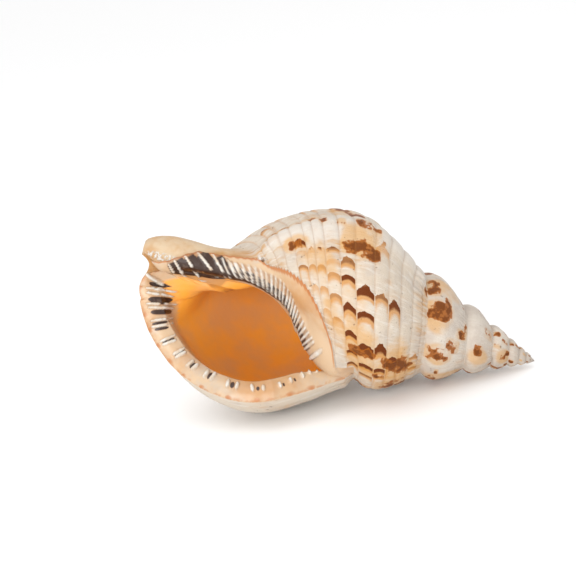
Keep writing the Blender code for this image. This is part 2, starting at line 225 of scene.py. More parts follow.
# Folds of the inner lip, in the same way
FOLDS = [
    (-73.9, -12.6, 76.7, -73.4, -12, 74.9, -72.9, -10.7, 72.6, -72.9, -6.5, 69.7, 0.7),
    (-71, -13.1, 78.5, -70, -12.7, 75.8, -69.1, -10.2, 71.8, -68.6, -6.5, 68, 0.75),
    (-65.8, -12.3, 79.6, -63.7, -13.3, 75.3, -62.4, -9.5, 70.2, -60.7, -5.5, 64.3, 0.75),
    (-59.8, -10.9, 79.9, -57.1, -12.3, 75.8, -54.9, -12.9, 72, -53.1, -6.2, 65.4, 0.75),
    (-53.2, -9.8, 78, -51.4, -11.8, 74.4, -49.9, -12.6, 71, -48.4, -11.2, 66.4, 0.7),
    (-49.2, -10.3, 75.7, -48.1, -12, 72.6, -47.2, -12.6, 69.7, -46.3, -11.5, 65.8, 0.68),
    (-46.2, -10.7, 74.3, -45.1, -12.2, 71.4, -44.3, -12.8, 68.8, -43.5, -12.2, 65.2, 0.68),
    (-43.4, -11, 73.2, -42.5, -12.4, 70.5, -41.7, -13, 68, -40.9, -12.8, 64.8, 0.68),
    (-40.3, -11.3, 72.2, -39.6, -12.8, 69.5, -39.1, -13.4, 67, -38.5, -13.3, 63.9, 0.68),
    (-37.2, -11.8, 71.1, -36.7, -13.2, 68.5, -36.4, -13.9, 66, -36.1, -13.8, 62.9, 0.68),
    (-34.1, -12.7, 69.9, -33.9, -13.9, 66.9, -33.9, -14.5, 64.3, -33.9, -13.9, 60.7, 0.68),
    (-31.6, -13.7, 68.8, -31.5, -14.6, 65.7, -31.5, -15.1, 63, -31.5, -14.6, 59.6, 0.68),
    (-29.2, -14.9, 67.7, -29.4, -15.4, 64.5, -29.6, -15.7, 61.6, -29.9, -14.9, 57.9, 0.68),
    (-26.7, -16.7, 67.2, -27.1, -16.6, 63.5, -27.5, -16.6, 60.4, -27.9, -15.7, 56.4, 0.68),
    (-24.7, -18.5, 66.3, -25.2, -18, 62.6, -25.7, -17.6, 59.3, -26.2, -16.6, 55.3, 0.68),
    (-22.7, -20.5, 64.8, -23.3, -19.5, 61.2, -23.9, -19.1, 58.2, -24.6, -17.6, 54.3, 0.68),
    (-21.1, -22.2, 63.3, -21.9, -20.6, 59.5, -22.5, -20.2, 56.5, -23.3, -18.2, 52.4, 0.68),
    (-19.6, -23.7, 61, -20.5, -21.8, 57.3, -21.2, -21.4, 54.5, -22.2, -19.1, 50.6, 0.68),
    (-18.4, -24.8, 58.9, -19.4, -22.7, 55.4, -20.2, -22.1, 52.8, -21.2, -21, 49.7, 0.68),
    (-17.8, -24.7, 55.8, -18.7, -23.3, 52.8, -19.5, -22.6, 50.4, -20.4, -21.6, 47.5, 0.68),
    (-17, -25.2, 53.2, -17.9, -24, 50.6, -18.7, -23.1, 48.3, -19.6, -22.1, 45.7, 0.68),
    (-16.3, -25.9, 50.7, -17.3, -24.7, 48.3, -18.1, -23.6, 46.2, -19.1, -21.9, 43.6, 0.68),
    (-15.6, -26.6, 48.2, -16.6, -25.5, 46.1, -17.5, -24.2, 44.2, -18.6, -22, 41.7, 0.68),
    (-14.5, -27.7, 45.8, -15.6, -26.7, 43.9, -16.6, -25.4, 42.1, -17.8, -23.2, 39.7, 0.68),
    (-13.8, -28.2, 42.8, -15, -27.3, 41.2, -16.1, -26.1, 39.7, -17.4, -23.6, 37.5, 0.68),
    (-12.7, -29.4, 40.5, -14.2, -27.9, 38.7, -15.5, -26.6, 37.2, -17.1, -23.7, 34.8, 0.68),
    (-11.5, -30.8, 38.2, -13.3, -29, 36.4, -14.8, -27.2, 34.8, -16.6, -23.3, 32.3, 0.68),
    (-10.7, -31.7, 36.5, -12.4, -30, 34.8, -14, -27.9, 33, -15.8, -23.9, 30.5, 0.85),
    (-7.6, -34.3, 32.9, -9.6, -32.7, 31, -11.3, -30.8, 29.3, -13.5, -25.3, 26, 1.4),
]

# Arched marks on the last whorl's cords: angle, place, length in degrees, strength
MARKS = [
    (-280, 1.00, 6, 0.95), (-287, 0.83, 7, 1.0), (-287, 0.63, 6, 0.6), (-290, 0.48, 9, 0.75), (-299, 1.04, 8, 1.0),
    (-301, 0.87, 7, 1.0), (-317, 1.06, 7, 1.0), (-325, 0.89, 11, 1.0), (-323, 0.69, 11, 1.0), (-345, 1.00, 6, 0.7),
    (-342, 0.70, 8, 0.8), (-341, 0.86, 7, 0.8), (-333, 0.50, 12, 1.0), (-270, 1.00, 6, 0.6), (-254, 1.57, 7, 0.85),
    (-275, 1.57, 6, 0.55), (-294, 1.20, 7, 0.5), (-290, 1.36, 6, 0.4), (-275, 1.46, 6, 0.42), (-275, 1.35, 6, 0.42),
    (-280, 1.20, 7, 0.45), (-310, 1.20, 6, 0.35), (-306, 1.36, 6, 0.3), (-262, 1.20, 6, 0.3), (-262, 1.36, 6, 0.25),
    (-262, 1.46, 6, 0.25), (-262, 1.57, 6, 0.25), (-333, 1.06, 6, 0.6), (-290, 1.46, 6, 0.3), (-254, 0.62, 6, 0.35),
    (-332, 0.20, 6, 0.5), (-347, 0.20, 6, 0.5), (-270, 1.20, 6, 0.3), (-352, 0.86, 6, 0.6), (-350, 0.62, 6, 0.5),
]
MARKS_PLACED = (-358.0, -205.0)

# Brown patches: angle, place, half width in degrees and by place, strength
PATCHES = [
    (-256, 0.98, 5, 0.10, 1.0), (-259, 0.80, 4.5, 0.10, 1.0), (-252, 0.84, 3, 0.06, 0.7), (-254, 1.61, 4, 0.07, 0.75),
    (-232, 1.79, 2.6, 0.035, 0.8), (-232, 1.67, 2.6, 0.035, 0.8), (-232, 1.55, 2.6, 0.035, 0.8),
    (-231, 1.40, 2.6, 0.04, 0.8), (-237, 1.28, 2.6, 0.04, 0.7), (-239, 1.08, 2.6, 0.045, 0.7),
    (-212, 1.01, 5, 0.08, 0.9), (-222, 0.89, 5, 0.08, 0.9), (-237, 0.85, 4, 0.06, 0.8), (-242, 0.73, 2.6, 0.04, 0.7),
    (-335, 0.46, 8, 0.16, 0.9), (-344, 0.32, 7, 0.12, 0.8), (-327, 0.90, 3.5, 0.16, 0.7),
    (-346, 0.62, 4, 0.12, 0.7), (-634, 0.80, 9, 0.24, 1.0), (-604, 0.88, 10, 0.11, 0.9),
    (-619, 0.61, 6, 0.07, 0.6), (-683, 0.76, 7.5, 0.24, 1.0), (-670, 0.43, 8, 0.13, 0.95), (-709, 0.68, 4, 0.04, 0.8),
    (-728, 0.77, 9, 0.10, 0.6), (-651, 0.22, 6, 0.14, 0.8), (-1028, 0.64, 9, 0.14, 0.55), (-1378, 0.20, 9, 0.2, 0.7),
    (-254, 0.02, 4, 0.05, 0.6), (-640, 0.10, 10, 0.07, 0.6), (-596, 0.14, 10, 0.07, 0.6), (-990, 0.30, 10, 0.16, 0.5),
]
PATCHES_PLACED = [MARKS_PLACED, (-735.0, -585.0), (-1060.0, -960.0)]

# Golden washes in the same way, and crusts without a strength
WASHES = [
    (-275, 1.42, 22, 0.28, 0.75), (-300, 1.10, 26, 0.34, 0.7),
    (-330, 0.80, 24, 0.40, 0.85), (-318, 0.50, 14, 0.24, 0.6),
    (-254, 1.60, 9, 0.16, 0.9), (-250, 0.90, 12, 0.22, 0.7), (-232, 1.60, 5, 0.40, 0.7), (-345, 0.40, 14, 0.30, 0.9),
    (-640, 0.80, 22, 0.30, 0.8), (-683, 0.70, 16, 0.34, 0.9), (-600, 0.60, 16, 0.40, 0.6), (-725, 0.50, 16, 0.50, 0.7),
    (-220, 1.00, 12, 0.20, 0.8), (-1040, 0.60, 20, 0.40, 0.6), (-1395, 0.40, 30, 0.50, 0.6),
]
CRUSTS = [(-300, 2.62, 16, 0.16), (-254, 2.06, 9, 0.05), (-262, 2.12, 8, 0.05)]
DEEP_MASKS = (0.0, 0.0, 1.0, 0.0)
MARK_SEED = 7
PATCH_SEED = 11
BEADS_PER_TURN = 63.0

# Stage
DISPLAY_SHARE = 0.8
CAMERA_PLACE = (0.023474, -0.762390, 0.299662)
CAMERA_RIGHT = Vector((0.99150, -0.00406, -0.13004))
CAMERA_UP = Vector((0.12454, 0.31877, 0.93961))
CAMERA_SHIFT = (-0.0556, 0.0234)


def tone(red, green, blue):
    """A colour seen in bright light, as display values 0 to 255, as Blender's linear colour of the surface."""
    shares = [value / 255.0 for value in (red, green, blue)]
    return tuple(DISPLAY_SHARE * (s / 12.92 if s <= 0.04045 else ((s + 0.055) / 1.055) ** 2.4) for s in shares) + (1.0,)


def smooth(x):
    """0 below 0, 1 above 1, and a smooth rise between them."""
    x = np.clip(x, 0.0, 1.0)
    return x * x * (3.0 - 2.0 * x)


def bump(x):
    """1 at 0, falling smoothly to 0 at 1 on both sides."""
    return smooth(1.0 - np.abs(x))


def growth(angle):
    """Size of the shell at a growth angle, as a share of its size at the lip."""
    return GROWTH_PER_TURN ** (np.asarray(angle, float) / 360.0)


def steps_between(edges, counts):
    """Values from edge to edge, with a count of steps between each two."""
    parts = [np.linspace(a, b, n + 1)[:-1] for a, b, n in zip(edges, edges[1:], counts)]
    return np.concatenate(parts + [edges[-1:]])


def finer(values, times):
    """The same values with more steps between each two."""
    count = len(values) - 1
    return np.interp(np.arange(count * times + 1) / times, np.arange(count + 1), values)


def along(controls, place):
    """Point and direction at each place on the smooth curve through its section's controls."""
    last = controls.shape[-2] - 1
    at = np.interp(place, [0.0, 1.0, 2.0, 3.0], [0, SUTURE_SPANS, NECK, last])
    slopes = np.gradient(controls, axis=-2)
    span = np.clip(np.floor(at).astype(int), 0, last - 1)
    t = (at - span)[..., None]

    def pick(values, index):
        return np.take_along_axis(values, index[..., None, None], axis=-2)[..., 0, :]

    start, end = pick(controls, span), pick(controls, span + 1)
    leave, arrive = pick(slopes, span), pick(slopes, span + 1)
    reach = 1.4 * np.linalg.norm(end - start, axis=-1)[..., None]
    leave = leave * np.minimum(1.0, reach / (np.linalg.norm(leave, axis=-1)[..., None] + 1e-9))
    arrive = arrive * np.minimum(1.0, reach / (np.linalg.norm(arrive, axis=-1)[..., None] + 1e-9))
    point = start * (2 * t**3 - 3 * t**2 + 1) + leave * (t**3 - 2 * t**2 + t)
    point = point + end * (3 * t**2 - 2 * t**3) + arrive * (t**3 - t**2)
    way = (end - start) * (6 * t - 6 * t**2) + leave * (3 * t**2 - 4 * t + 1) + arrive * (3 * t**2 - 2 * t)
    return point, way


def outward(way):
    """Unit normals of a section, pointing away from the axis."""
    normal = np.stack([way[..., 1], -way[..., 0]], axis=-1)
    return normal / (np.linalg.norm(normal, axis=-1)[..., None] + 1e-9)


def whorl_controls(angle):
    """Controls from suture to neck: the crown's form, swelling to the last whorl's, at the lip's scale."""
    swell = smooth((angle + 360.0) / SWELLING_ENDS)[..., None, None]
    return CROWN_SECTION * (1.0 - swell) + BODY_SECTION * swell


def skin_controls(angle):
    """Controls of the outer skin from suture to notch at each growth angle."""
    whorl = whorl_controls(angle) * growth(angle)[..., None, None]
    side = np.radians(angle) + MOUTH_ROLL
    stub = CANAL_RADIUS + CANAL_EXTRA * np.cos(side - CANAL_THICK_SIDE)
    facing = np.maximum(0.0, np.cos(side - MOUTH_SIDE)) ** 2
    neck_radius, neck_depth = whorl[..., -1, 0], whorl[..., -1, 1]
    run = CANAL_SHOULDER - neck_depth
    flat = np.zeros_like(side)
    canal = np.stack(
        [
            np.stack([stub + (neck_radius - stub) * 0.38, neck_depth + run * 0.12], axis=-1),
            np.stack([stub - PILLAR_HOLLOW * facing, neck_depth + run * 0.42], axis=-1),
            np.stack([stub + PILLAR_SWELL * facing, neck_depth + run * 0.76], axis=-1),
            np.stack([stub * 0.95 + PILLAR_SWELL * 0.4 * facing, flat + CANAL_SHOULDER], axis=-1),
            np.stack([stub * 0.72, CANAL_RIM - CANAL_DIP * facing], axis=-1),
            np.stack([stub * 0.35 + 2.0 * facing, CANAL_END - 2.0 * CANAL_DIP * facing], axis=-1),
        ],
        axis=-2,
    )
    to_lip = smooth((angle + LIP_BLEND) / LIP_BLEND)[..., None, None]
    canal = canal * (1.0 - to_lip) + LIP_FRONT * to_lip
    notch = np.stack([NOTCH_RADIUS * np.cos(side - NOTCH_SIDE), flat + NOTCH_DEPTH], axis=-1)
    return np.concatenate([whorl, canal, notch[..., None, :]], axis=-2)


def swing(angle, place):
    """How far the skin is turned back near the lip, in degrees."""
    turned = np.interp(place, LIP_SWING_PLACES, LIP_SWING_ANGLES)
    return turned * smooth((angle + LIP_SWING_REACH) / LIP_SWING_REACH)


def in_world(section, angle):
    """Section points turned about the axis and laid down as the CAD shell lies, in metres."""
    side = np.radians(angle) + MOUTH_ROLL
    down = section[..., 0] * np.cos(side)
    front = section[..., 0] * np.sin(side)
    depth = section[..., 1]
    x = -depth * math.cos(AXIS_LEAN) - down * math.sin(AXIS_LEAN)
    z = depth * math.sin(AXIS_LEAN) - down * math.cos(AXIS_LEAN)
    return np.stack([x, -front, z], axis=-1) * MM + SHIFT


def notch_point():
    """The bottom of the canal's notch, where every row of the skin ends."""
    section = np.array([NOTCH_RADIUS, NOTCH_DEPTH])
    return in_world(section, math.degrees(NOTCH_SIDE - MOUTH_ROLL))


def free_share(angle, place):
    """1 where the skin stands free of the next whorl, 0 on the suture that the next whorl covers."""
    free = smooth((angle + 360.0) / FREE_REACH)
    return np.where(place < 1.0, smooth((1.0 - place) / 0.1), 0.0) * (1.0 - free) + free


def deep_share(angle):
    """0 at the hollow's mouth and 1 where it has its full form."""
    return smooth(-angle / DEEP_REACH)


def rib_share(angle):
    """How strongly a rib stands at each angle."""
    from_rib = (angle + FIRST_RIB + RIB_SPACING / 2) % RIB_SPACING - RIB_SPACING / 2
    return np.where(angle < -60.0, np.exp(-((from_rib / RIB_HALF_WIDTH) ** 2)), 0.0)


def cord_place(place):
    """Cords counted along the section: a whole number at each cord's edge."""
    return np.interp(place, CORD_EDGES, np.arange(len(CORD_EDGES))) + np.maximum(place - 2.0, 0.0) * 7.0


def glaze_edge(place):
    """How far the inner lip's glaze spreads past the mouth at each place, in degrees."""
    wide = np.interp(place, GLAZE_PLACES, GLAZE_DEGREES)
    near = np.interp(place - 0.03, GLAZE_PLACES, GLAZE_DEGREES) + np.interp(place + 0.03, GLAZE_PLACES, GLAZE_DEGREES)
    ripple = np.cos(2.0 * math.pi * fold_count(place)) * smooth((place - 1.3) / 0.1) * smooth((2.7 - place) / 0.1)
    return (wide * 2.0 + near) / 4.0 + 1.2 * ripple


def fold_count(place):
    """Folds counted along the inner lip: a whole number between each two."""
    return np.interp(place, FOLD_PLACES, FOLD_COUNTS)


def relief(angle, place, sizes):
    """Height of the cords, ribs and lip rib above the smooth skin, in millimetres."""
    cord = cord_place(place)
    inside = np.abs(2.0 * (cord - np.floor(cord)) - 1.0)
    share = np.interp(np.floor(cord), np.arange(len(CORD_SHARE)), CORD_SHARE)
    cords = (1.0 - inside**4) * share
    worn = 0.8 * smooth((-390.0 - angle) / 200.0) + 0.9 * smooth((angle + 42.0) / 26.0)
    cords = cords * (1.0 - worn) + share * worn
    rib = rib_share(angle)
    lip = np.exp(-(((angle + 14.0) / 13.0) ** 2))
    height = growth(angle) * (sizes.cord_height / MM * cords * (1.0 + 0.6 * rib) + sizes.rib_height / MM * rib)
    height = height + LIP_RIB * lip
    return height * smooth(place / 0.1) * free_share(angle, place) * smooth((2.25 - place) / 0.35)


def unevenness(angle, place):
    """Slow swellings that keep the whorls from being perfectly even, in millimetres at the lip's scale."""
    turn = np.radians(angle)
    wave = 0.16 * np.sin(turn * 7.0 + 3.0 * place) + 0.12 * np.sin(turn * 13.0 - 4.0 * place + 1.3)
    wave = wave + 0.10 * np.sin(turn * 23.0 + 9.0 * place + 0.4)
    return wave * smooth(place / 0.15) * smooth((2.2 - place) / 0.5)


def skin_points(angle, place, sizes, glaze=0.0):
    """World points of the outer skin, under the glaze where there is any."""
    rows, way = along(skin_controls(angle), place)
    height = relief(angle, place, sizes)
    height = height + unevenness(angle, place) * growth(angle) * free_share(angle, place)
    height = height * (1.0 - glaze) + sizes.glaze_thickness / MM * glaze
    rows = rows + outward(way) * height[..., None]
    points = in_world(rows, angle + swing(angle, place))
    points[place >= 3.0] = notch_point()
    return points


def corner_shift(angle):
    """How far the hollow's corner lies in from the suture."""
    inward = BODY_SECTION[3] - BODY_SECTION[0] + np.array([-14.0, 6.0])
    return inward / np.linalg.norm(inward) * CORNER_INSET * smooth(-angle / 25.0)[..., None]


def wall_section(angle, place):
    """Section of the hollow's outer wall, from the suture's corner to the front."""
    deep = deep_share(angle)[..., None, None]
    whorl = whorl_controls(angle)
    blunt = np.broadcast_to(HOLLOW_FRONT, whorl.shape[:-2] + HOLLOW_FRONT.shape).copy()
    blunt[..., 1] += (whorl[..., -1, 1] - BODY_SECTION[-1][1])[..., None] * np.linspace(1.0, 0.0, len(HOLLOW_FRONT))
    whorl[..., -1, :] += NECK_INSET * deep[..., 0]
    front = skin_controls(np.zeros_like(angle))[..., NECK + 1:, :] * (1.0 - deep) + blunt * deep
    rows, way = along(np.concatenate([whorl, front], axis=-2), place)
    lip = smooth((angle + LIP_THICK_REACH) / LIP_THICK_REACH)
    thickness = WALL + (LIP_THICKNESS - WALL) * lip
    thickness = thickness * smooth(place / 0.45) * (1.0 - smooth((place - 2.2) / 0.8) * (1.0 - deep[..., 0, 0]))
    rows = rows - outward(way) * thickness[..., None]
    rows = rows + corner_shift(angle) * (1.0 - smooth(place / 0.45))[..., None]
    return rows * growth(angle)[..., None]


def pillar_section(angle, place, sizes):
    """Section of the hollow's inner side, from the suture's corner along the pillar to the front."""
    deep = deep_share(angle)[..., None, None]
    own = skin_controls(np.full_like(angle, -360.0))
    own[..., NECK + 1:, :] = own[..., NECK + 1:, :] * (1.0 - deep) + PILLAR * deep
    rows, way = along(own, place)
    glaze = sizes.glaze_thickness / MM * glaze_share(place)
    height = glaze * (1.0 - deep[..., 0, 0]) + inner_swell(angle, place)
    rows = rows + outward(way) * height[..., None]
    rows = rows + corner_shift(angle) * (1.0 - smooth((place - 1.0) / 0.45))[..., None]
    return rows * growth(angle)[..., None]


def glaze_share(place):
    """How fully the inner lip's glaze lies at each place."""
    return smooth((place - 1.0) / 0.12) * smooth((3.0 - place) / 0.3)


def inner_swell(past, place):
    """How far the inner lip bulges into the mouth, or draws back at the pillar's waist, in millimetres."""
    high = np.interp(place, SWELL_PLACES, SWELL_HEIGHTS)
    reach = np.interp(place, [1.3, 1.7, 2.0, 2.2], [36.0, 44.0, 78.0, 84.0])
    bulge = high * smooth((past + 50.0) / 50.0) * smooth((reach - past) / reach)
    top = np.interp(past, [-40.0, 0.0], [2.86, 2.58])
    waist = np.interp(past, [-30.0, 0.0], [6.6, 5.5]) * smooth((place - 2.14) / 0.14) * smooth((top - place) / 0.16)
    waist = waist * smooth((past + 240.0) / 60.0) * smooth((66.0 - past) / 45.0)
    return bulge - waist


def hollow_points(angle, place, wall, sizes):
    """World points of the hollow's wall or pillar."""
    tip = np.broadcast_to(np.array(3.0), angle.shape)
    pillar_end = in_world(pillar_section(angle, tip, sizes), angle)
    deep = deep_share(angle)[..., None]
    front = notch_point() * (1.0 - deep) + pillar_end * deep
    if wall:
        points = in_world(wall_section(angle, place), angle + swing(angle, place))
    else:
        points = in_world(pillar_section(angle, place, sizes), angle)
    return np.where((place >= 3.0)[..., None], front, points)


def lip_points(share, place, sizes):
    """World points over the lip's rim, from the skin's edge to the hollow's mouth."""
    zero = np.zeros_like(place)
    rows, way = along(skin_controls(zero), place)
    edge = rows + outward(way) * (relief(zero, place, sizes) + unevenness(zero, place))[..., None]
    mouth = wall_section(zero, place)
    ends = np.sin(np.clip(place / 3.0, 0.0, 1.0) * math.pi) ** 0.5
    section = edge * (1.0 - share[..., None]) + mouth * share[..., None]
    bulge = LIP_BULGE * np.sin(math.pi * share) * ends
    points = in_world(section, swing(zero, place) + bulge)
    points[place <= 0.0] = in_world(BODY_SECTION[0], 0.0)
    points[place >= 3.0] = notch_point()
    return points


def sheet_normals(points):
    """Unit normals of a grid of points."""
    across = np.gradient(points, axis=0)
    down = np.gradient(points, axis=1)
    normal = np.cross(across, down)
    return normal / (np.linalg.norm(normal, axis=-1)[..., None] + 1e-12)


def raised(points, height, aim, columns, sense):
    """Points raised along their normals by a height in millimetres, towards an aim (1) or away from it (-1)."""
    normal = sheet_normals(points)
    side = sense * np.sign(((aim - points) * normal).sum(axis=-1)[columns].mean())
    return points + normal * side * height[..., None] * MM


def run_lengths(points, axis):
    """Length run along one axis of a grid of points, in millimetres."""
    steps = np.linalg.norm(np.diff(points, axis=axis), axis=-1) / MM
    pad = [(0, 0), (0, 0)]
    pad[axis] = (1, 0)
    return np.cumsum(np.pad(steps, pad), axis=axis)


def mark_tables():
    """For every cord, the angles of its marks' sharp edges, and each mark's length and strength."""
    chance = np.random.default_rng(MARK_SEED)
    tables = []
    for cord in range(len(CORD_EDGES) - 1):
        marks = []
        angle = -8.0 + cord % 3
        while angle > -390.0:
            angle -= chance.uniform(13.0, 20.0)
            strength = np.clip(chance.normal(0.5, 0.35), 0.0, 1.0) * smooth((-24.0 - angle) / 30.0)
            if not MARKS_PLACED[0] < angle < MARKS_PLACED[1] and chance.random() < 0.6:
                marks.append((angle, chance.uniform(6.0, 10.0), float(strength)))
        for seen_angle, place, length, strength in MARKS:
            if CORD_EDGES[cord] <= place < CORD_EDGES[cord + 1]:
                marks.append((seen_angle + length / 2, length, strength))
        marks.sort()
        tables.append(marks)
    return tables


def mark_cells(cord, angle, tables):
    """Running count of a cord's marks at each angle, and the strength of the mark ahead."""
    marks = tables[cord] if cord < len(tables) else []
    knots, counts, edges, strengths = [-9999.0], [0.0], [], []
    for number, (edge, length, strength) in enumerate(marks):
        start = max(edge - length, knots[-1] + 0.5)
        knots += [start, max(edge, start + 0.5)]
        counts += [number + 0.5, number + 1.0]
        edges.append(knots[-1])
        strengths.append(strength)
    strengths = np.array(strengths + [0.0])
    ahead = strengths[np.searchsorted(edges, angle)]
    behind = strengths[np.searchsorted(edges, angle - 2.0)]
    strength = np.where(angle < (knots[1] if marks else 9999.0) - 1.0, 0.0, np.maximum(ahead, behind))
    return np.interp(angle, knots, counts), strength


def add_sheet(name, points, angle, place, slot_of_face, washes, teeth, tables):
    """A mesh object of quads through a grid of points, with its spiral map, mark cells and colour masks.

    Finishes and masks may be one value for all faces or points. Sheets without marks have None as their tables.
    """
    columns, rows = points.shape[:2]
    bpy.ops.object.select_all(action="DESELECT")
    bpy.ops.mesh.primitive_grid_add(x_subdivisions=rows - 1, y_subdivisions=columns - 1, size=0.1)
    sheet = bpy.context.object
    sheet.name = name
    mesh = sheet.data
    mesh.vertices.foreach_set("co", points.astype(np.float32).ravel())
    corner = np.zeros(len(mesh.loops), np.int64)
    mesh.loops.foreach_get("vertex_index", corner)
    column, row = corner // rows, corner % rows
    face_row = row.reshape(-1, 4).min(axis=1)
    face_column = column.reshape(-1, 4).min(axis=1)
    corner_angle, corner_place = angle[column, row], place[column, row]
    while mesh.uv_layers:
        mesh.uv_layers.remove(mesh.uv_layers[0])
    spiral = mesh.uv_layers.new(name="spiral")
    spiral.data.foreach_set("uv", np.stack([corner_angle / 360.0, cord_place(corner_place)], axis=1).ravel())
    cells = mesh.uv_layers.new(name="cells")
    counts = np.zeros((len(corner), 2))
    if tables:
        middle = (place[0, :-1] + place[0, 1:]) / 2
        cord_of_row = np.floor(cord_place(middle)).astype(int)
        cord_of_corner = np.repeat(cord_of_row[face_row], 4)
        for cord in np.unique(cord_of_row):
            chosen = cord_of_corner == cord
            count, strength = mark_cells(cord, corner_angle[chosen], tables)
            counts[chosen, 0] = count
            counts[chosen, 1] = strength
    cells.data.foreach_set("uv", counts.ravel())
    for layer, values in (("washes", washes), ("teeth", teeth)):
        held = mesh.color_attributes.new(name=layer, type="FLOAT_COLOR", domain="POINT")
        held.data.foreach_set("color", np.broadcast_to(values, points.shape[:2] + (4,)).astype(np.float32).ravel())
    for finish in FINISHES:
        mesh.materials.append(bpy.data.materials.get(finish) or bpy.data.materials.new(finish))
    slots = np.broadcast_to(slot_of_face, (columns - 1, rows - 1))
    mesh.polygons.foreach_set("material_index", slots[face_column, face_row].astype(np.int32))
    mesh.update()
    return sheet


def sew(sheet, indices, target):
    """Split a sheet's border and lay its points on the finer border that it meets, in order."""
    mesh = sheet.data
    cuts = (len(target) - 1) // (len(indices) - 1)
    before = len(mesh.vertices)
    wanted = set(int(i) for i in indices)
    bpy.ops.object.select_all(action="DESELECT")
    sheet.select_set(True)
    bpy.context.view_layer.objects.active = sheet
    for part in (mesh.vertices, mesh.edges, mesh.polygons):
        part.foreach_set("select", np.zeros(len(part), bool))
    for edge in mesh.edges:
        edge.select = edge.vertices[0] in wanted and edge.vertices[1] in wanted
    ends = np.array([mesh.vertices[int(i)].co for i in indices])
    shares = np.arange(cuts) / cuts
    straight = ends[:-1, None] + (ends[1:, None] - ends[:-1, None]) * shares[None, :, None]
    straight = np.concatenate([straight.reshape(-1, 3), ends[-1:]])
    bpy.ops.object.mode_set(mode="EDIT")
    bpy.ops.mesh.select_mode(type="EDGE")
    bpy.ops.mesh.subdivide(number_cuts=cuts - 1, ngon=True)
    bpy.ops.object.mode_set(mode="OBJECT")
    for order, index in enumerate(indices):
        mesh.vertices[int(index)].co = target[order * cuts]
    for index in range(before, len(mesh.vertices)):
        vertex = mesh.vertices[index]
        order = np.argmin(((straight - np.array(vertex.co)) ** 2).sum(axis=1))
        vertex.co = target[order]


def last_turn_angles():
    """Angles of the last turn's columns at the whorl's suture side, and where the glaze begins at its base side."""
    even = np.linspace(-360.0, 0.0, LAST_STEPS + 1)
    crowded = even.copy()
    crowded[: CALLUS_TURN + 1] = callus_angles(np.array([1.0]), even)[:, 0]
    return even, crowded


def callus_angles(place, even):
    """Angles of the columns over the inner lip: crowded under the glaze, then out to the open base."""
    edge = np.clip(glaze_edge(place), GLAZE_LEAST, GLAZE_MOST)
    end = even[CALLUS_TURN] + 360.0
    under = np.linspace(0.0, 1.0, CALLUS_COLUMNS + 1)[:, None] * edge
    step = edge + np.linspace(0.0, GLAZE_STEP, STEP_COLUMNS + 1)[1:, None]
    open_count = CALLUS_TURN - CALLUS_COLUMNS - STEP_COLUMNS
    rest = step[-1] + (end - step[-1]) * np.linspace(0.0, 1.0, open_count + 1)[1:, None]
    return -360.0 + np.concatenate([under, step, rest])


def spread(values, like):
    """Values laid along one axis of a grid."""
    return np.broadcast_to(values, like).astype(float).copy()


def all_patches():
    """The placed brown patches, and random ones wherever none are placed."""
    chance = np.random.default_rng(PATCH_SEED)
    patches = list(PATCHES)
    for at, low, high in ((0.82, 20.0, 34.0), (0.42, 22.0, 40.0), (0.12, 16.0, 30.0)):
        angle = -20.0
        while angle > -360.0 * TURNS:
            angle -= chance.uniform(low, high) * (1.0 if angle > -360.0 else 1.5)
            if any(start < angle < end for start, end in PATCHES_PLACED) or chance.random() < 0.35:
                continue
            tall = (0.10 if at > 0.2 else 0.06) * (1.0 if angle > -360.0 else 1.8)
            size = chance.uniform(5.0, 9.0)
            patches.append((angle, at + chance.uniform(-0.08, 0.08), size, tall, chance.uniform(0.4, 0.9)))
    return patches + [(-502.0, at, 2.6, 0.035, 0.7) for at in (0.2, 0.34, 0.5, 0.66, 0.84)]


def blot(angle, place, at, level, wide, tall):
    """Distance from a blot's middle, 1 at its half widths, squared."""
    return ((angle - at) / wide) ** 2 + ((place - level) / tall) ** 2


def skin_washes(angle, place):
    """Masks on the skin: warm wash, brown patches, worn white, crust."""
    warm, patches, worn, crust = np.zeros((4,) + angle.shape)
    low, high = angle.min(), angle.max()
    for at, level, wide, tall, strength in all_patches():
        if low - wide * 2.0 < at < high + wide * 2.0:
            away = np.sqrt(((angle - at) / wide) ** 4 + ((place - level) / tall) ** 4)
            patches = np.maximum(patches, strength * np.clip(1.25 - 0.75 * away, 0.0, 1.0))
            warm = np.maximum(warm, 0.9 * strength * smooth(1.2 - away / 2.4))
    for *where, strength in WASHES:
        warm = np.maximum(warm, strength * smooth(1.25 - blot(angle, place, *where)))
    for where in CRUSTS:
        crust = np.maximum(crust, smooth(1.4 - blot(angle, place, *where)))
    worn = np.maximum(smooth((rib_share(angle) - 0.4) / 0.4) * (place < 1.9), smooth((-352.0 - angle) / 30.0) * 0.8)
    bare = smooth(1.4 - np.abs((angle + 247.0) / 7.0) ** 3 - np.abs((place - 1.28) / 0.22) ** 3)
    return np.stack([warm, patches, np.maximum(worn, bare), crust], axis=-1)


def add_skin(name, angle, place, tables, sizes):
    """A sheet of the outer skin alone, and its points."""
    points = skin_points(angle, place, sizes)
    return add_sheet(name, points, angle, place, 0, skin_washes(angle, place), 0.0, tables), points


def add_hollow_end(name, places, is_wall, sizes):
    """A sheet of the hollow's end, out of sight, and its shape."""
    angle, place = over_grid(np.linspace(HOLLOW_END, HOLLOW_BEND, END_COLUMNS), places)
    points = hollow_points(angle, place, is_wall, sizes)
    return add_sheet(name, points, angle, place, 1, 0.0, DEEP_MASKS, None), angle.shape


def over_grid(angles, places):
    """Angles by column and places by row, over a grid."""
    shape = (len(angles), len(places))
    return spread(angles[:, None], shape), spread(places, shape)


def border(count, rows, which):
    """Indices of a grid's first column, last column or last row."""
    if which == "side":
        return np.arange(count) * rows + rows - 1
    return np.arange(rows) + (count - 1) * rows * (which == "last")


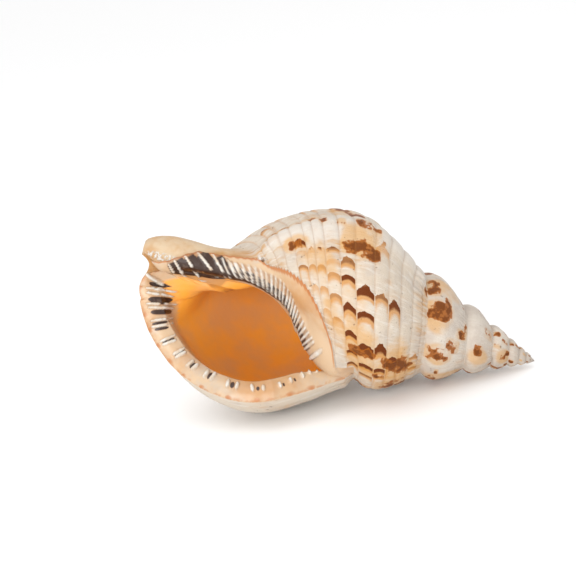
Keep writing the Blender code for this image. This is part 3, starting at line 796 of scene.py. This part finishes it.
def build_shell(sizes):
    """All sheets of the shell, sewn into one closed skin."""
    box = [np.array(corner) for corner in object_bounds()]
    tables = mark_tables()
    whorl_places = steps_between(WHORL_EDGES, WHORL_COUNTS)
    base_places = steps_between(BASE_EDGES, BASE_COUNTS)
    even, crowded = last_turn_angles()

    # Crown, in two widths of step
    grid = over_grid(np.linspace(-360.0 * TURNS, -1080.0, 4 * CROWN_STEPS + 1), whorl_places[::2])
    tip_turns, _ = add_skin("tip_turns", *grid, tables, sizes)
    grid = over_grid(np.linspace(-1080.0, -720.0, CROWN_STEPS + 1), whorl_places)
    upper_turn, upper_points = add_skin("upper_turn", *grid, tables, sizes)
    grid = over_grid(np.linspace(-720.0, -360.0, LAST_STEPS + 1), whorl_places)
    next_turn, next_points = add_skin("next_turn", *grid, tables, sizes)

    # Last whorl from suture to shoulder, its columns crowding towards the inner lip, and the base beyond the glaze
    lean = smooth(whorl_places)[None, :]
    angle = even[:, None] * (1.0 - lean) + crowded[:, None] * lean
    last_turn, _ = add_skin("last_turn", angle, spread(whorl_places, angle.shape), tables, sizes)
    base, _ = add_skin("base", *over_grid(even[CALLUS_TURN:], base_places), tables, sizes)

    # Lip, inner lip and hollow
    places = np.concatenate([whorl_places[:-1], base_places])
    wall, wall_edge, wall_deep = wall_sheet(finer(places, FINE), sizes)
    inner, inner_points = inner_lip_sheet(finer(base_places, FINE), even, sizes, tables)
    wall_end, wall_shape = add_hollow_end("wall_end", places, True, sizes)
    pillar_end, pillar_shape = add_hollow_end("pillar_end", base_places, False, sizes)

    # Sew each coarser border to the finer one that it meets
    whorl_rows, base_rows = len(whorl_places), len(base_places)
    base_columns = LAST_STEPS - CALLUS_TURN + 1
    sew(tip_turns, border(4 * CROWN_STEPS + 1, len(whorl_places[::2]), "last"), upper_points[0])
    sew(upper_turn, border(CROWN_STEPS + 1, whorl_rows, "side"), next_points[:, 0])
    sew(base, border(base_columns, base_rows, "first"), inner_points[-1])
    sew(base, border(base_columns, base_rows, "last"), wall_edge[-(base_rows - 1) * FINE - 1:])
    sew(last_turn, border(LAST_STEPS + 1, whorl_rows, "last"), wall_edge[: (whorl_rows - 1) * FINE + 1])
    sew(wall_end, border(*wall_shape, "last"), wall_deep)
    sew(pillar_end, border(*pillar_shape, "last"), inner_points[0])

    bpy.ops.object.select_all(action="DESELECT")
    for sheet in (tip_turns, upper_turn, next_turn, last_turn, base, wall, inner, wall_end, pillar_end):
        sheet.select_set(True)
    bpy.context.view_layer.objects.active = tip_turns
    bpy.ops.object.join()
    shell = bpy.context.object
    shell.name = "conch_shell"
    shell.data.name = "conch_shell"
    close_shell(shell)
    fit_box(shell, *box)
    return shell


def fit_box(shell, low, high):
    """Draw the shell's points in evenly wherever its relief has grown past the CAD shell's box."""
    points = np.zeros(len(shell.data.vertices) * 3, np.float32)
    shell.data.vertices.foreach_get("co", points)
    points = points.reshape(-1, 3)
    least, most = points.min(axis=0), points.max(axis=0)
    start, end = np.maximum(least, low + BOX_GAP), np.minimum(most, high - BOX_GAP)
    points = start + (points - least) / (most - least) * (end - start)
    shell.data.vertices.foreach_set("co", points.astype(np.float32).ravel())
    shell.data.update()


def close_shell(shell):
    """Weld the sheets, close the crown's tip and the hollow's end, and turn all faces out."""
    bpy.ops.object.mode_set(mode="EDIT")
    bpy.ops.mesh.select_mode(type="VERT")
    bpy.ops.mesh.select_all(action="SELECT")
    bpy.ops.mesh.remove_doubles(threshold=WELD)
    bpy.ops.mesh.dissolve_degenerate(threshold=SLIVER)
    bpy.ops.mesh.select_all(action="DESELECT")
    bpy.ops.mesh.select_non_manifold(extend=False, use_wire=False, use_boundary=False, use_verts=False)
    bpy.ops.mesh.remove_doubles(threshold=CORNER_WELD)
    bpy.ops.mesh.select_all(action="DESELECT")
    bpy.ops.mesh.select_non_manifold(
        extend=False, use_wire=False, use_multi_face=False, use_non_contiguous=False, use_verts=False
    )
    bpy.ops.mesh.fill_holes(sides=0)
    bpy.ops.object.mode_set(mode="OBJECT")
    mesh = shell.data
    tip = Vector(in_world(np.array([0.0, CROWN_TIP]), 0.0))
    caps = [face for face in mesh.polygons if len(face.vertices) > 4]
    crown_cap = min(caps, key=lambda face: (face.center - tip).length).index
    mesh.polygons.foreach_set("select", [face.index == crown_cap for face in mesh.polygons])
    bpy.ops.object.mode_set(mode="EDIT")
    bpy.ops.mesh.select_mode(type="FACE")
    bpy.ops.mesh.poke()
    bpy.ops.object.mode_set(mode="OBJECT")
    mesh.vertices[len(mesh.vertices) - 1].co = tip
    bpy.ops.object.mode_set(mode="EDIT")
    bpy.ops.mesh.select_all(action="DESELECT")
    bpy.ops.mesh.select_face_by_sides(number=4, type="GREATER")
    bpy.ops.mesh.quads_convert_to_tris()
    bpy.ops.mesh.select_all(action="SELECT")
    bpy.ops.mesh.normals_make_consistent(inside=False)
    bpy.ops.object.mode_set(mode="OBJECT")
    bpy.ops.object.shade_smooth()


def line_gaps(points, line):
    """How far each grid point lies from a line of points, in millimetres, and how far along the line it lies."""
    path = np.array(line[:-1]).reshape(-1, 3)
    nearest = np.full(points.shape[:2], 1e9)
    share = np.zeros(points.shape[:2])
    for number, (start, end) in enumerate(zip(path, path[1:])):
        way = end - start
        t = np.clip(((points / MM - start) * way).sum(axis=-1) / (way @ way), 0.0, 1.0)
        gap = np.linalg.norm(points / MM - (start + way * t[..., None]), axis=-1)
        closer = gap < nearest
        nearest = np.where(closer, gap, nearest)
        share = np.where(closer, (number + t) / (len(path) - 1), share)
    return nearest, share


def ridge(near, half, height):
    """Height in millimetres of a rounded ridge with a given line shape and half width, and its mask."""
    return height / MM * min(half, 1.2) * np.sqrt(np.clip(1.0 - (1.0 - near) ** 2, 0.0, 1.0)), smooth(near / 0.35)


def line_shape(nearest, share, half):
    """1 on a line, 0 beyond its half width, which tapers at both ends."""
    width = half * (0.45 + 0.55 * np.sqrt(np.clip(1.0 - np.abs(2.0 * share - 1.0) ** 3, 0.0, 1.0)))
    return np.clip(1.0 - nearest / width, 0.0, 1.0)


def lip_grid(fine, sizes):
    """Points, angles, places and run over the lip's rim and the hollow's outer wall behind it."""
    rim = spread(np.linspace(0.0, 1.0, RIM_COLUMNS)[:, None], (RIM_COLUMNS, len(fine)))
    rim_points = lip_points(rim, spread(fine, rim.shape), sizes)
    inward = np.linspace(0.0, 1.0, WALL_COLUMNS + 1)[1:] ** 1.25 * HOLLOW_BEND
    angle = spread(inward[:, None], (len(inward), len(fine)))
    points = np.concatenate([rim_points, hollow_points(angle, spread(fine, angle.shape), True, sizes)])
    angle = np.concatenate([np.zeros_like(rim), angle])
    return points, angle, spread(fine, angle.shape), run_lengths(points, 0)


def wall_sheet(fine, sizes):
    """The lip's rim with its teeth and the hollow's outer wall behind it, with its outer and its deep edge."""
    points, angle, place, reach = lip_grid(fine, sizes)
    height, masks = tooth_relief(points, reach, place, sizes)
    ends = smooth(place / 0.1) * smooth((3.0 - place) / 0.15)
    points = raised(points, height * ends, points[LIP_MIDDLE].mean(axis=0), LIP_COLUMNS, 1.0)
    sheet = add_sheet("lip", points, angle, place, 1, 0.0, masks, None)
    return sheet, points[0], points[-1]


def tooth_relief(points, reach, place, sizes):
    """Height of the lip's teeth and rim ripples, and their masks: tooth, dark, depth, rim patch."""
    height, teeth, dark = np.zeros((3,) + reach.shape)
    for tooth in TEETH:
        raised, mask = ridge(line_shape(*line_gaps(points, tooth), tooth[-1]), tooth[-1], sizes.tooth_height)
        height, teeth = np.maximum(height, raised), np.maximum(teeth, mask)
    for gap in DARK_GAPS:
        dark = np.maximum(dark, smooth(line_shape(*line_gaps(points, gap), gap[-1]) * 1.8))
    start = np.interp(place, [1.2, 1.9, 2.3], [9.0, 12.0, 5.0])
    depth = smooth((reach - start) / np.interp(place, [1.6, 2.0, 2.4], [40.0, 25.0, 12.0]))
    rim = 0.62 * bump((reach - 0.2) / 2.4)
    for middle in RIM_PATCHES:
        across = bump((place - middle) / 0.05)
        rim = np.maximum(rim, across * bump((reach - 0.8) / 2.4))
        height = height + 0.35 * across * bump((reach - 1.0) / 3.0)
    return height, np.stack([teeth, dark, depth, rim], axis=-1)


def inner_grid(fine, even, sizes):
    """Points, angles past the mouth and places over the hollow's pillar side, the inner lip and the open base."""
    inward = np.linspace(1.0, 0.0, PILLAR_COLUMNS + 1)[:-1] ** 1.25 * HOLLOW_BEND
    angle = spread(inward[:, None], (len(inward), len(fine)))
    pillar = hollow_points(angle, spread(fine, angle.shape), False, sizes)
    outer = callus_angles(fine, even)
    place = spread(fine, outer.shape)
    past = outer + 360.0
    cover = 1.0 - smooth((past - glaze_edge(fine)[None, :]) / GLAZE_STEP)
    base = skin_points(outer, place, sizes, cover * glaze_share(place))
    swell = inner_swell(past, place)
    rows, way = along(skin_controls(outer), place)
    lift = in_world(rows + outward(way) * swell[..., None], outer) - in_world(rows, outer)
    points = np.concatenate([pillar, base + lift])
    return points, np.concatenate([angle, past]), spread(fine, points.shape[:2]), len(inward)


def inner_lip_sheet(fine, even, sizes, tables):
    """The inner lip: the hollow's pillar side, its folds, the glaze over the whorl, and the open base beyond."""
    points, distance, place, inward = inner_grid(fine, even, sizes)
    height, masks = fold_relief(points, distance, place, sizes)
    points = raised(points, height, in_world(AXIS_MIDDLE, 0.0), INNER_COLUMNS, -1.0)
    washes = np.zeros_like(masks)
    washes[inward:] = skin_washes(distance[inward:] - 360.0, place[inward:])
    glazed = (np.arange(len(points) - 1) <= inward + CALLUS_COLUMNS).astype(int)[:, None]
    return add_sheet("inner_lip", points, distance - 360.0, place, glazed, washes, masks, tables), points


def fold_relief(points, distance, place, sizes):
    """Height of the folds across the inner lip, and their masks: ridge, dark (the gaps between folds, and painted shade
    deep on the pillar side), depth, glaze edge.
    """
    height, ridges, dark = np.zeros((3,) + distance.shape)
    for number, fold in enumerate(FOLDS):
        nearest, share = line_gaps(points, fold)
        raised, mask = ridge(line_shape(nearest, share, fold[-1]), fold[-1], sizes.fold_height)
        height, ridges = np.maximum(height, raised), np.maximum(ridges, mask)
        gap = np.interp(number, [0, 1, 4, 6, 28], [1.4, 4.4, 4.4, 2.1, 1.6])
        start = np.interp(number, [3, 5, 8, 14, 28], [0.0, 0.2, 0.38, 0.5, 0.5])
        beside = smooth((gap - nearest) / 0.8)
        darkening = np.maximum(smooth((share - start + 0.1) / 0.3), 0.28 * smooth(share / 0.1))
        dark = np.maximum(dark, beside * darkening)
    # The gaps between folds fade going into the hollow. Past that, the pillar side gets a faint dark of painted shade.
    dark = np.maximum(dark * smooth((distance + 16.0) / 10.0), 0.24 * smooth((-6.0 - distance) / 10.0))
    depth = smooth((2.0 - distance) / 10.0)
    edge = smooth((distance - glaze_edge(place) + 7.0) / 4.0) * smooth((place - 1.2) / 0.15)
    return height, np.stack([ridges, dark, depth, edge * smooth((2.8 - place) / 0.2)], axis=-1)


def height_property(name, description, default, most):
    """A height that a user may change, in metres."""
    return bpy.props.FloatProperty(
        name=name, description=description, default=default, min=0.0, max=most, precision=4,
        subtype="DISTANCE", unit="LENGTH",
    )


def colour_property(name, description, default):
    """A colour that a user may change."""
    return bpy.props.FloatVectorProperty(
        name=name, description=description, default=default, size=4, min=0.0, max=1.0, subtype="COLOR",
    )


class ShellSizes(bpy.types.PropertyGroup):
    """Heights of the shell's relief"""

    cord_height: height_property("Cord Height", "How high the spiral cords stand on the last whorl", 0.0008, 0.003)
    rib_height: height_property("Rib Height", "How high the old lips stand across the whorls", 0.0036, 0.006)
    tooth_height: height_property("Tooth Height", "How high the outer lip's teeth stand", 0.0015, 0.003)
    fold_height: height_property("Fold Height", "How high the folds stand across the inner lip", 0.0009, 0.002)
    glaze_thickness: height_property("Glaze Thickness", "How thick the inner lip's glaze is", 0.0011, 0.002)


class ShellTones(bpy.types.PropertyGroup):
    """Colours of the shell"""

    cream: colour_property("Cream", "Ground colour of the outside", tone(224, 209, 190))
    brown: colour_property("Brown", "Colour of the marks on the cords", tone(114, 52, 8))
    tan: colour_property("Tan", "Colour of the clouds on the ground", tone(210, 156, 92))
    orange: colour_property("Orange", "Colour deep in the hollow", (0.96, 0.405, 0.05, 1.0))
    glaze: colour_property("Glaze", "Colour of the lip and its glaze", tone(222, 190, 154))
    tooth: colour_property("Tooth", "Colour of teeth and folds", tone(232, 226, 216))
    dark: colour_property("Dark", "Colour between the teeth", tone(62, 38, 26))


class StageSettings(bpy.types.PropertyGroup):
    """Floor, light and camera"""

    floor_tone: colour_property("Floor", "Colour of the floor", (0.96, 0.96, 0.96, 1.0))
    sky_strength: bpy.props.FloatProperty(
        name="Sky Strength", description="Strength of the even light all round", default=1.0, min=0.0, max=5.0,
    )
    lens: bpy.props.FloatProperty(
        name="Lens", description="Focal length of the camera, in millimetres", default=105.0, min=20.0, max=300.0,
    )


class Finish:
    """A material and its nodes, its colour laid on in coats."""

    def __init__(self, name):
        material = bpy.data.materials.get(name) or bpy.data.materials.new(name)
        material.use_nodes = True
        self.material = material
        self.nodes = material.node_tree.nodes
        self.surface = self.nodes["Principled BSDF"].inputs
        self.colour = None

    def feed(self, socket, value):
        """Link a socket, or set it to a number or a colour."""
        if isinstance(value, bpy.types.NodeSocket):
            self.material.node_tree.links.new(value, socket)
        else:
            socket.default_value = value

    def maths(self, operation, *values):
        """A Math node fed by sockets or numbers."""
        made = self.nodes.new("ShaderNodeMath")
        made.operation = operation
        for socket, value in zip(made.inputs, values):
            self.feed(socket, value)
        return made.outputs[0]

    def times(self, first, second):
        """One value times another."""
        return self.maths("MULTIPLY", first, second)

    def line(self, value, slope, start):
        """A value times a slope, plus a start."""
        return self.maths("MULTIPLY_ADD", value, slope, start)

    def plus(self, first, second):
        """One value plus another."""
        return self.maths("ADD", first, second)

    def mix(self, share, first, second):
        """A colour Mix node fed by sockets or colours."""
        made = self.nodes.new("ShaderNodeMix")
        made.data_type = "RGBA"
        for index, value in ((0, share), (6, first), (7, second)):
            self.feed(made.inputs[index], value)
        return made.outputs[2]

    def coat(self, share, colour):
        """Lay a colour over what is there, by its share."""
        self.colour = self.mix(share, self.colour, colour)

    def step(self, value, low, high):
        """A smooth rise of a value from low to high."""
        made = self.nodes.new("ShaderNodeMapRange")
        made.interpolation_type = "SMOOTHSTEP"
        for name, given in (("Value", value), ("From Min", low), ("From Max", high)):
            self.feed(made.inputs[name], given)
        return made.outputs["Result"]

    def fall(self, value, low, high):
        """A smooth fall of a value from low to high."""
        return self.maths("SUBTRACT", 1.0, self.step(value, low, high))

    def noise(self, vector, scale, detail=3.0, rough=0.55):
        """Noise of a given scale, from 0 to 1."""
        made = self.nodes.new("ShaderNodeTexNoise")
        for name, given in (("Vector", vector), ("Scale", scale), ("Detail", detail), ("Roughness", rough)):
            self.feed(made.inputs[name], given)
        return made.outputs["Fac"]

    def place(self):
        """Where each point of the piece is, in metres."""
        return self.nodes.new("ShaderNodeTexCoord").outputs["Object"]

    def map_values(self, name):
        """A UV map, and its two values."""
        made = self.nodes.new("ShaderNodeUVMap")
        made.uv_map = name
        parts = self.nodes.new("ShaderNodeSeparateXYZ")
        self.feed(parts.inputs[0], made.outputs["UV"])
        return made.outputs["UV"], parts.outputs[0], parts.outputs[1]

    def masks(self, name):
        """The four masks of a colour attribute."""
        made = self.nodes.new("ShaderNodeAttribute")
        made.attribute_name = name
        parts = self.nodes.new("ShaderNodeSeparateColor")
        self.feed(parts.inputs[0], made.outputs["Color"])
        return parts.outputs[0], parts.outputs[1], parts.outputs[2], made.outputs["Alpha"]

    def bands(self, spiral, round_scale, cord_scale, rough=0.55):
        """Noise drawn out across the cords, as growth lines are."""
        made = self.nodes.new("ShaderNodeMapping")
        self.feed(made.inputs["Scale"], (round_scale, cord_scale, 1.0))
        self.feed(made.inputs["Vector"], spiral)
        return self.noise(made.outputs["Vector"], 3.0, 4.0, rough)

    def surface_relief(self, height, strength, distance):
        """Fine relief on the surface, from a height."""
        made = self.nodes.new("ShaderNodeBump")
        for name, given in (("Height", height), ("Strength", strength), ("Distance", distance)):
            self.feed(made.inputs[name], given)
        self.feed(self.surface["Normal"], made.outputs["Normal"])


def skin_material(tones):
    """Cream skin with brown arches on its cords, brown patches, golden washes, worn white, growth lines and painted
    shade in the grooves.
    """
    skin = Finish("shell_skin")
    step, fall, times, line = skin.step, skin.fall, skin.times, skin.line
    place = skin.place()
    spiral, turn, cord = skin.map_values("spiral")
    _, count, strength = skin.map_values("cells")
    wash, patch, worn, crust = skin.masks("washes")

    # Ground: cream with tan clouds, grey-lilac bloom and white growth bands
    blotch = skin.noise(place, 42.0, 4.0, 0.6)
    ragged = skin.noise(place, 240.0, 5.0, 0.65)
    grey = skin.noise(place, 95.0, 5.0, 0.6)
    crown = step(turn, -1.02, -1.12)
    skin.colour = tuple(tones.cream)
    tan = times(step(blotch, 0.44, 0.70), step(skin.bands(spiral, 26.0, 0.14), 0.40, 0.62))
    skin.coat(times(tan, 0.85), tuple(tones.tan))
    skin.coat(times(step(grey, 0.46, 0.70), 0.55), tone(204, 190, 178))
    skin.coat(times(step(skin.bands(spiral, 44.0, 0.22), 0.50, 0.66), 0.55), tone(238, 230, 220))
    skin.coat(times(worn, 0.65), tone(232, 224, 214))
    skin.coat(times(crown, times(step(grey, 0.40, 0.62), 0.6)), tone(206, 190, 176))

    # Golden washes round the patches
    skin.coat(times(times(step(wash, 0.05, 0.7), step(blotch, 0.34, 0.58)), 0.66), tone(226, 172, 100))

    # Canal: smooth, cream and tan
    skin.coat(step(cord, 14.2, 16.0), skin.mix(step(blotch, 0.40, 0.66), tone(234, 208, 174), tone(214, 156, 92)))

    # Arches: a sharp upper edge that fades away below it
    across = line(skin.maths("FRACT", cord), 2.0, -1.0)
    arch = times(across, across)
    wobble = line(ragged, 0.22, -0.11)
    share = skin.maths("FRACT", skin.plus(line(arch, 0.20, count), wobble))
    on_cord = times(strength, fall(skin.plus(arch, wobble), 0.74, 1.0))
    skin.coat(times(step(times(step(share, 0.38, 0.80), on_cord), 0.03, 0.5), 0.8), tone(214, 148, 70))
    skin.coat(step(times(step(share, 0.56, 0.86), on_cord), 0.30, 0.80), tuple(tones.brown))

    # Patches, ragged at their edges
    uneven = step(skin.noise(place, 120.0, 3.0), 0.34, 0.66)
    torn = line(step(ragged, 0.36, 0.64), 0.5, line(uneven, 1.1, -0.8))
    torn = skin.plus(patch, times(torn, step(patch, 0.0, 0.3)))
    skin.coat(times(step(torn, 0.30, 0.62), 0.92), tone(170, 94, 24))
    skin.coat(times(step(torn, 0.70, 1.20), 0.8), tone(112, 56, 14))

    # Painted shade in the grooves between the cords; growth lines, pits and crust
    groove_shade = times(times(step(arch, 0.70, 1.0), fall(cord, 13.9, 14.3)), fall(turn, -0.14, -0.08))
    lines = skin.bands(spiral, 240.0, 0.3, 0.6)
    pits = step(skin.noise(place, 520.0, 2.0, 0.5), 0.70, 0.76)
    flakes = times(crust, step(skin.noise(place, 700.0, 3.0, 0.6), 0.46, 0.54))
    # Painted shade in the grooves between the cords, fainter on the crown
    skin.coat(times(groove_shade, line(crown, -0.18, 0.2)), tone(184, 122, 62))
    skin.coat(times(step(lines, 0.60, 0.74), 0.22), tone(176, 126, 84))
    skin.coat(times(pits, 0.55), tone(110, 72, 48))
    skin.coat(flakes, tone(240, 234, 226))
    skin.coat(times(crust, step(ragged, 0.56, 0.64)), tone(120, 84, 56))
    skin.feed(skin.surface["Base Color"], skin.colour)
    skin.feed(skin.surface["Roughness"], line(grey, 0.35, 0.26))
    skin.feed(skin.surface["Specular IOR Level"], 0.13)

    # Beads at the suture, growth lines, grain and crust as fine relief
    beads = times(skin.maths("SINE", times(turn, 2.0 * math.pi * BEADS_PER_TURN)), 0.5)
    height = skin.plus(lines, times(beads, times(step(cord, 0.8, 1.1), fall(cord, 1.9, 2.1))))
    height = line(skin.noise(place, 800.0, 3.0), 0.35, height)
    height = line(flakes, 2.0, line(grey, 0.5, height))
    skin.surface_relief(line(pits, -0.8, height), 0.6, 0.0007)


def mouth_material(tones):
    """Glossy lip and hollow: cream rim, white teeth, near-black gaps, orange depth, and painted shade deep on the
    pillar side.
    """
    mouth = Finish("shell_mouth")
    step, times = mouth.step, mouth.times
    place = mouth.place()
    tooth, dark, depth, rim = mouth.masks("teeth")
    cloud = mouth.noise(place, 34.0, 4.0)
    fine = mouth.noise(place, 300.0, 5.0, 0.6)
    haze = mouth.noise(place, 70.0, 4.0, 0.6)

    mouth.colour = tuple(tones.glaze)
    mouth.coat(step(haze, 0.42, 0.66), tone(208, 188, 166))
    mouth.coat(times(step(cloud, 0.46, 0.66), 0.7), tone(208, 146, 78))
    deep = mouth.mix(step(cloud, 0.40, 0.66), tuple(tones.orange), (0.80, 0.39, 0.13, 1.0))
    mouth.coat(step(mouth.plus(depth, mouth.line(cloud, 0.3, -0.15)), 0.08, 0.50), deep)
    mouth.coat(times(times(rim, step(mouth.line(rim, 0.4, fine), 0.60, 0.78)), 0.85), tone(194, 116, 54))
    # Brown tint where the dark mask is faint: the real colour between the folds, and painted shade deep on the pillar
    # side
    mouth.coat(times(step(dark, 0.03, 0.3), 0.55), tone(150, 100, 62))
    bloom = mouth.mix(times(step(fine, 0.50, 0.72), 0.55), tuple(tones.dark), tone(120, 98, 84))
    mouth.coat(step(mouth.plus(dark, mouth.line(fine, 0.3, -0.15)), 0.36, 0.8), bloom)
    mouth.coat(tooth, mouth.mix(step(fine, 0.40, 0.62), tuple(tones.tooth), tone(222, 202, 178)))

    mouth.feed(mouth.surface["Base Color"], mouth.colour)
    mouth.feed(mouth.surface["Roughness"], 0.3)
    mouth.feed(mouth.surface["Specular IOR Level"], 0.45)
    mouth.surface_relief(fine, 0.3, 0.0004)


class SHELL_OT_grow(bpy.types.Operator):
    """Grow the shell's skin, lip and hollow"""

    bl_idname = "shell.grow"
    bl_label = "Grow Shell"

    def execute(self, context):
        shell = build_shell(context.scene.shell_sizes)
        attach(shell, "root")
        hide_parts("shell")
        return {"FINISHED"}


class SHELL_OT_paint(bpy.types.Operator):
    """Give the shell its marked skin and its glossy mouth"""

    bl_idname = "shell.paint"
    bl_label = "Paint Shell"

    def execute(self, context):
        tones = context.scene.shell_tones
        skin_material(tones)
        mouth_material(tones)
        return {"FINISHED"}


class SHELL_OT_stage(bpy.types.Operator):
    """Set the shell on a pale floor in soft studio light, before the camera"""

    bl_idname = "shell.stage"
    bl_label = "Set Stage"

    def execute(self, context):
        settings = context.scene.shell_stage
        add_floor(settings)
        add_sky(context.scene, settings)
        add_lights()
        add_camera(context.scene, settings)
        return {"FINISHED"}


def add_floor(settings):
    """A wide pale floor under the shell."""
    bpy.ops.object.select_all(action="DESELECT")
    bpy.ops.mesh.primitive_plane_add(size=30.0, location=(0.0, 0.0, 0.0))
    floor = bpy.context.object
    floor.name = "floor"
    pale = Finish("floor_white")
    pale.feed(pale.surface["Base Color"], tuple(settings.floor_tone))
    pale.feed(pale.surface["Roughness"], 0.6)
    floor.data.materials.append(pale.material)
    floor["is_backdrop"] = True


def add_sky(scene, settings):
    """Even white light all round."""
    sky = bpy.data.worlds.new("sky")
    sky.use_nodes = True
    background = sky.node_tree.nodes["Background"]
    background.inputs["Color"].default_value = (1.0, 1.0, 1.0, 1.0)
    background.inputs["Strength"].default_value = settings.sky_strength
    scene.world = sky


def add_light(name, where, aim, size, power):
    """A square soft light aimed at a point."""
    bpy.ops.object.light_add(type="AREA", location=where)
    light = bpy.context.object
    light.name = name
    light.data.shape = "SQUARE"
    light.data.size = size
    light.data.energy = power
    light.rotation_mode = "QUATERNION"
    light.rotation_quaternion = (Vector(aim) - Vector(where)).to_track_quat("-Z", "Y")


def add_lights():
    """A soft key from above, and a fill from the mouth's side."""
    add_light("key_light", (-0.25, -0.15, 0.9), (0.0, 0.0, 0.04), 0.7, 1.6)
    add_light("fill_light", (-0.3, -0.9, 0.3), (-0.03, -0.02, 0.04), 0.5, 4.5)


def add_camera(scene, settings):
    """The camera, where the photograph was taken from."""
    facing = Matrix((CAMERA_RIGHT, CAMERA_UP, CAMERA_RIGHT.cross(CAMERA_UP))).transposed()
    bpy.ops.object.camera_add(location=CAMERA_PLACE)
    camera = bpy.context.object
    camera.name = "camera"
    camera.rotation_mode = "QUATERNION"
    camera.rotation_quaternion = facing.to_quaternion()
    camera.data.sensor_width = 36.0
    camera.data.lens = settings.lens
    camera.data.shift_x, camera.data.shift_y = CAMERA_SHIFT
    camera.data.clip_start = 0.01
    camera.data.clip_end = 50.0
    scene.camera = camera
    scene.view_settings.view_transform = "Standard"


class SHELL_PT_panel(bpy.types.Panel):
    """Sizes, colours and steps of the shell"""

    bl_idname = "SHELL_PT_panel"
    bl_label = "Conch Shell"
    bl_space_type = "VIEW_3D"
    bl_region_type = "UI"
    bl_category = "Shell"

    def draw(self, context):
        layout = self.layout
        for group in (context.scene.shell_sizes, context.scene.shell_tones, context.scene.shell_stage):
            box = layout.box()
            for name in group.__annotations__:
                box.prop(group, name)
        layout.operator("shell.grow")
        layout.operator("shell.paint")
        layout.operator("shell.stage")


CLASSES = (ShellSizes, ShellTones, StageSettings, SHELL_OT_grow, SHELL_OT_paint, SHELL_OT_stage, SHELL_PT_panel)


def register():
    for made in CLASSES:
        bpy.utils.register_class(made)
    bpy.types.Scene.shell_sizes = bpy.props.PointerProperty(type=ShellSizes)
    bpy.types.Scene.shell_tones = bpy.props.PointerProperty(type=ShellTones)
    bpy.types.Scene.shell_stage = bpy.props.PointerProperty(type=StageSettings)


def unregister():
    del bpy.types.Scene.shell_stage
    del bpy.types.Scene.shell_tones
    del bpy.types.Scene.shell_sizes
    for made in reversed(CLASSES):
        bpy.utils.unregister_class(made)


def main():
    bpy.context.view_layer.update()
    register()
    bpy.ops.shell.grow()
    bpy.ops.shell.paint()
    bpy.ops.shell.stage()


if __name__ == "__main__":
    main()
